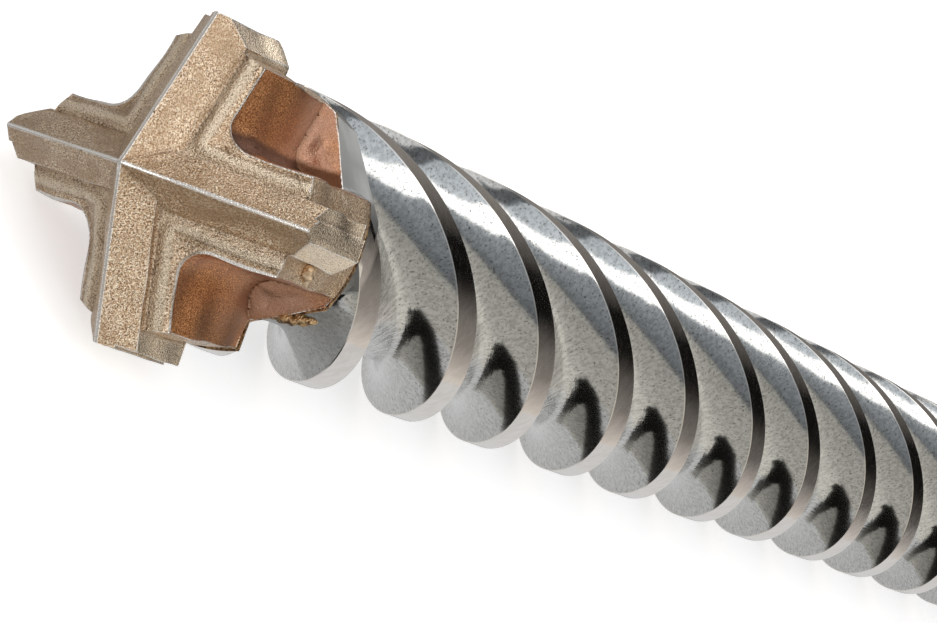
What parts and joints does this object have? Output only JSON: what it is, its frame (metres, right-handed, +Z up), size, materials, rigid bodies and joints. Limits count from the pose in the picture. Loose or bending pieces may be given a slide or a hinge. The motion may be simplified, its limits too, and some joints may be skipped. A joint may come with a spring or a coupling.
{
  "type": "masonry drill bit",
  "caption": "Masonry drill bit with a four-cutter carbide head brazed on a steel spiral, and a slotted shank for a rotary hammer.",
  "frame": {"origin": "on the floor under the middle of the bit, which lies on its spiral lands", "axes": "+X along the drill axis towards the tip, +Z up; the four cutters stand at 45 degrees to the floor"},
  "size_m": [0.26, 0.0136, 0.0135],
  "materials": {
    "carbide": "sintered, copper tinted",
    "braze": "as brazed",
    "steel": "blasted, lands ground"
  },
  "bodies": {
    "root": {"carbide_head": "carbide", "braze_seam": "braze", "steel_body": "steel"}
  },
  "joints": []
}
